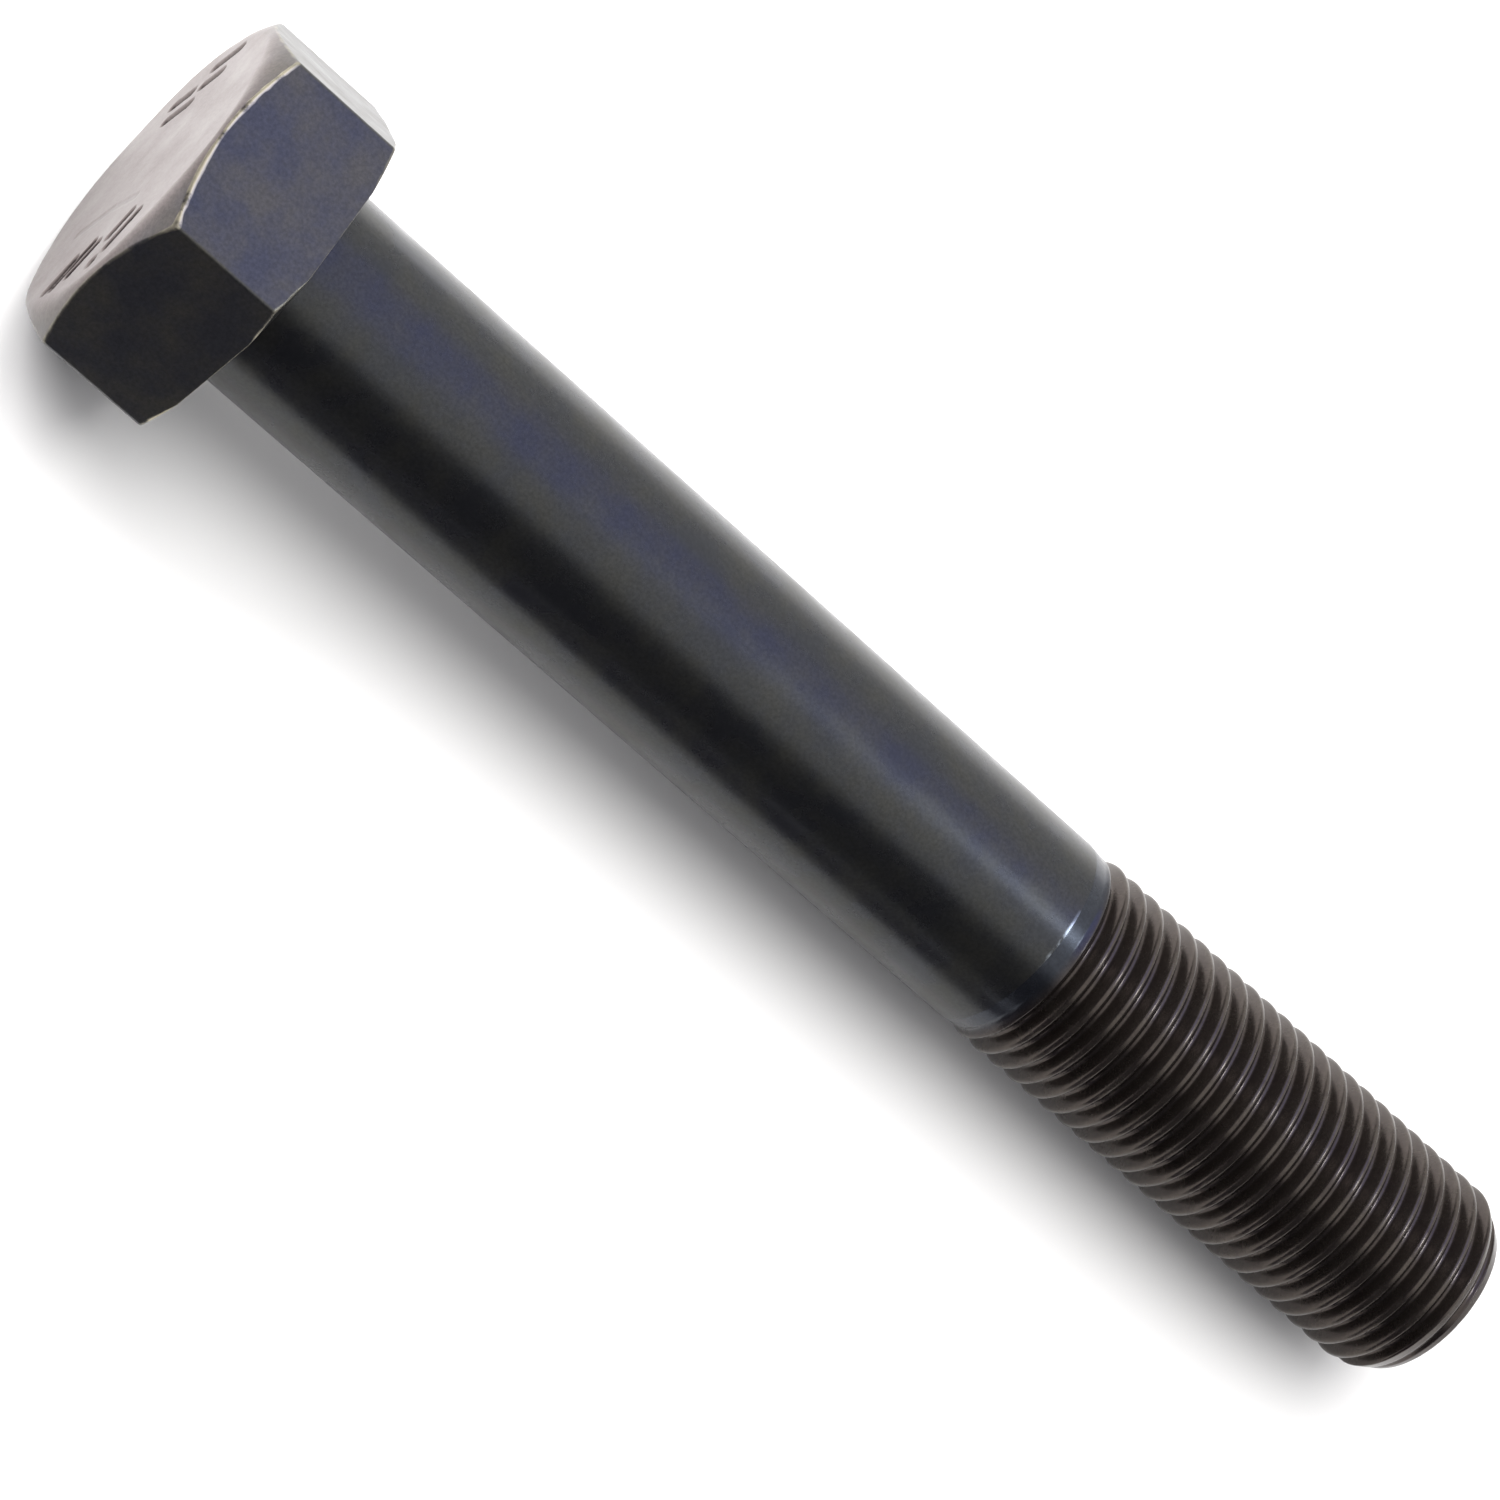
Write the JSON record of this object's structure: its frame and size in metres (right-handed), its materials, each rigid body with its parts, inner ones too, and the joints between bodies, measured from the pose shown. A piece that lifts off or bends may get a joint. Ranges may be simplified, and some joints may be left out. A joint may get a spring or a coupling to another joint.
{
  "type": "hex head bolt",
  "caption": "Hex head bolt with a chamfered head, a long plain round shank and a fine threaded end with a chamfered point.",
  "frame": {"origin": "centre of the head's bearing face, where the shank meets the head", "axes": "+X along the bolt's axis from the head towards the point, +Z out of one flat of the head, +Y across two opposite corners of the head"},
  "size_m": [0.1073, 0.0242, 0.021],
  "materials": {
    "blackened_head": "black oxide, smooth, worn bright at the edges",
    "blackened_shank": "black oxide, smooth and slightly glossy",
    "blackened_thread": "black oxide, brown-black, crests worn bright"
  },
  "bodies": {
    "root": {"head": "blackened_head", "shank": "blackened_shank", "thread": "blackened_thread"}
  },
  "joints": []
}
